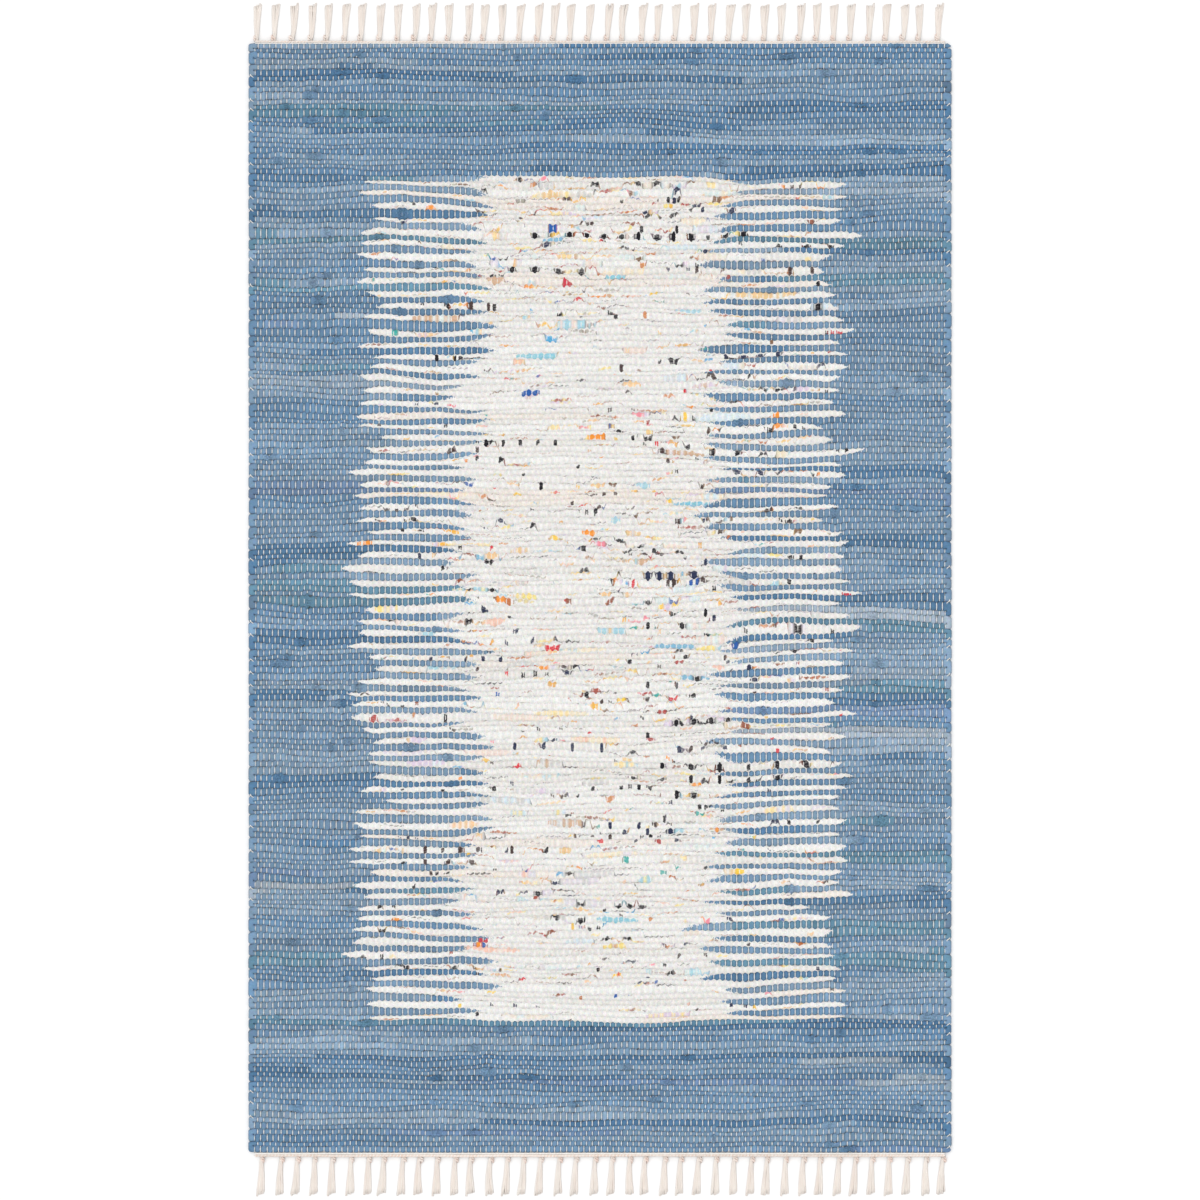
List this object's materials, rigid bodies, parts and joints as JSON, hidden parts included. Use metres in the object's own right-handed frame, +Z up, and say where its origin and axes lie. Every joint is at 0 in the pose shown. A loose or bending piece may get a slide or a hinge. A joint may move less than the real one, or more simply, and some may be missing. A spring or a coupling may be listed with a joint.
{
  "type": "cotton rag rug",
  "caption": "Flat-woven cotton rag rug with a plain panel in a plain border, interlocked edges between them, and knotted tassels at both ends",
  "frame": {"origin": "middle of the footprint, fringes included, at floor level", "axes": "+Z up out of the face of the rug, +Y along its length towards the far fringe, +X across it"},
  "size_m": [0.914, 1.5536, 0.0064],
  "materials": {
    "rag_weft": "packed cotton rag strips, matt and softly ribbed",
    "cotton_warp": "undyed cotton yarn, matt and slightly fluffy"
  },
  "bodies": {
    "root": {"woven_cloth": "rag_weft", "fringe_far": "cotton_warp", "fringe_near": "cotton_warp"}
  },
  "joints": []
}
